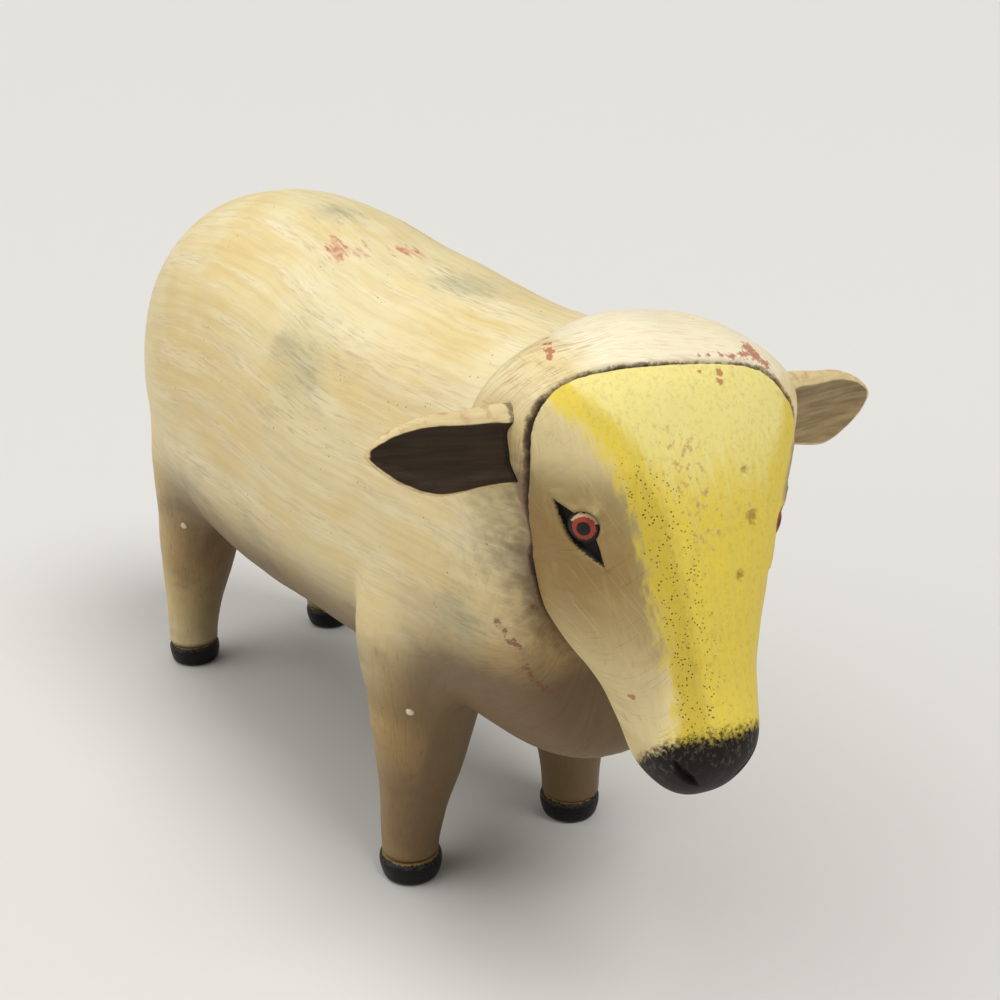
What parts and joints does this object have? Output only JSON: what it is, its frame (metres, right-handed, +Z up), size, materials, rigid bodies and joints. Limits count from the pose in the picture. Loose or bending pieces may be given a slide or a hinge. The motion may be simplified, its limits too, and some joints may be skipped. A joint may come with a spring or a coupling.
{
  "type": "wooden sheep figurine",
  "caption": "Carved and painted wooden sheep standing on tapered pegged legs, with a separate face block joined along a groove, leaf-shaped ears and black hooves.",
  "frame": {"origin": "middle of the figure's outer box, on the ground under it", "axes": "+Z up, -Y towards the nose, +X towards the animal's left"},
  "size_m": [0.1526, 0.3432, 0.21],
  "materials": {
    "cream_paint": "aged cream paint under yellowed varnish, satin",
    "face_paint": "aged yellow and cream paint with a black muzzle, satin",
    "leg_paint": "aged tan paint, satin",
    "ear_paint": "worn brown and cream paint, satin",
    "hoof_paint": "black paint, satin",
    "eye_paint": "red, cream and black paint, gloss",
    "bare_wood": "bare turned wood"
  },
  "bodies": {
    "root": {"body_block": "cream_paint", "head_block": "face_paint", "neck_dowel_upper": "bare_wood", "neck_dowel_lower": "bare_wood", "leg_front_right": "leg_paint", "leg_front_left": "leg_paint", "leg_rear_right": "leg_paint", "leg_rear_left": "leg_paint", "leg_pin_front_right": "bare_wood", "leg_pin_front_left": "bare_wood", "leg_pin_rear_right": "bare_wood", "leg_pin_rear_left": "bare_wood", "hoof_front_right": "hoof_paint", "hoof_front_left": "hoof_paint", "hoof_rear_right": "hoof_paint", "hoof_rear_left": "hoof_paint", "ear_right": "ear_paint", "ear_left": "ear_paint", "eye_right": "eye_paint", "eye_left": "eye_paint", "tail": "cream_paint"}
  },
  "joints": []
}
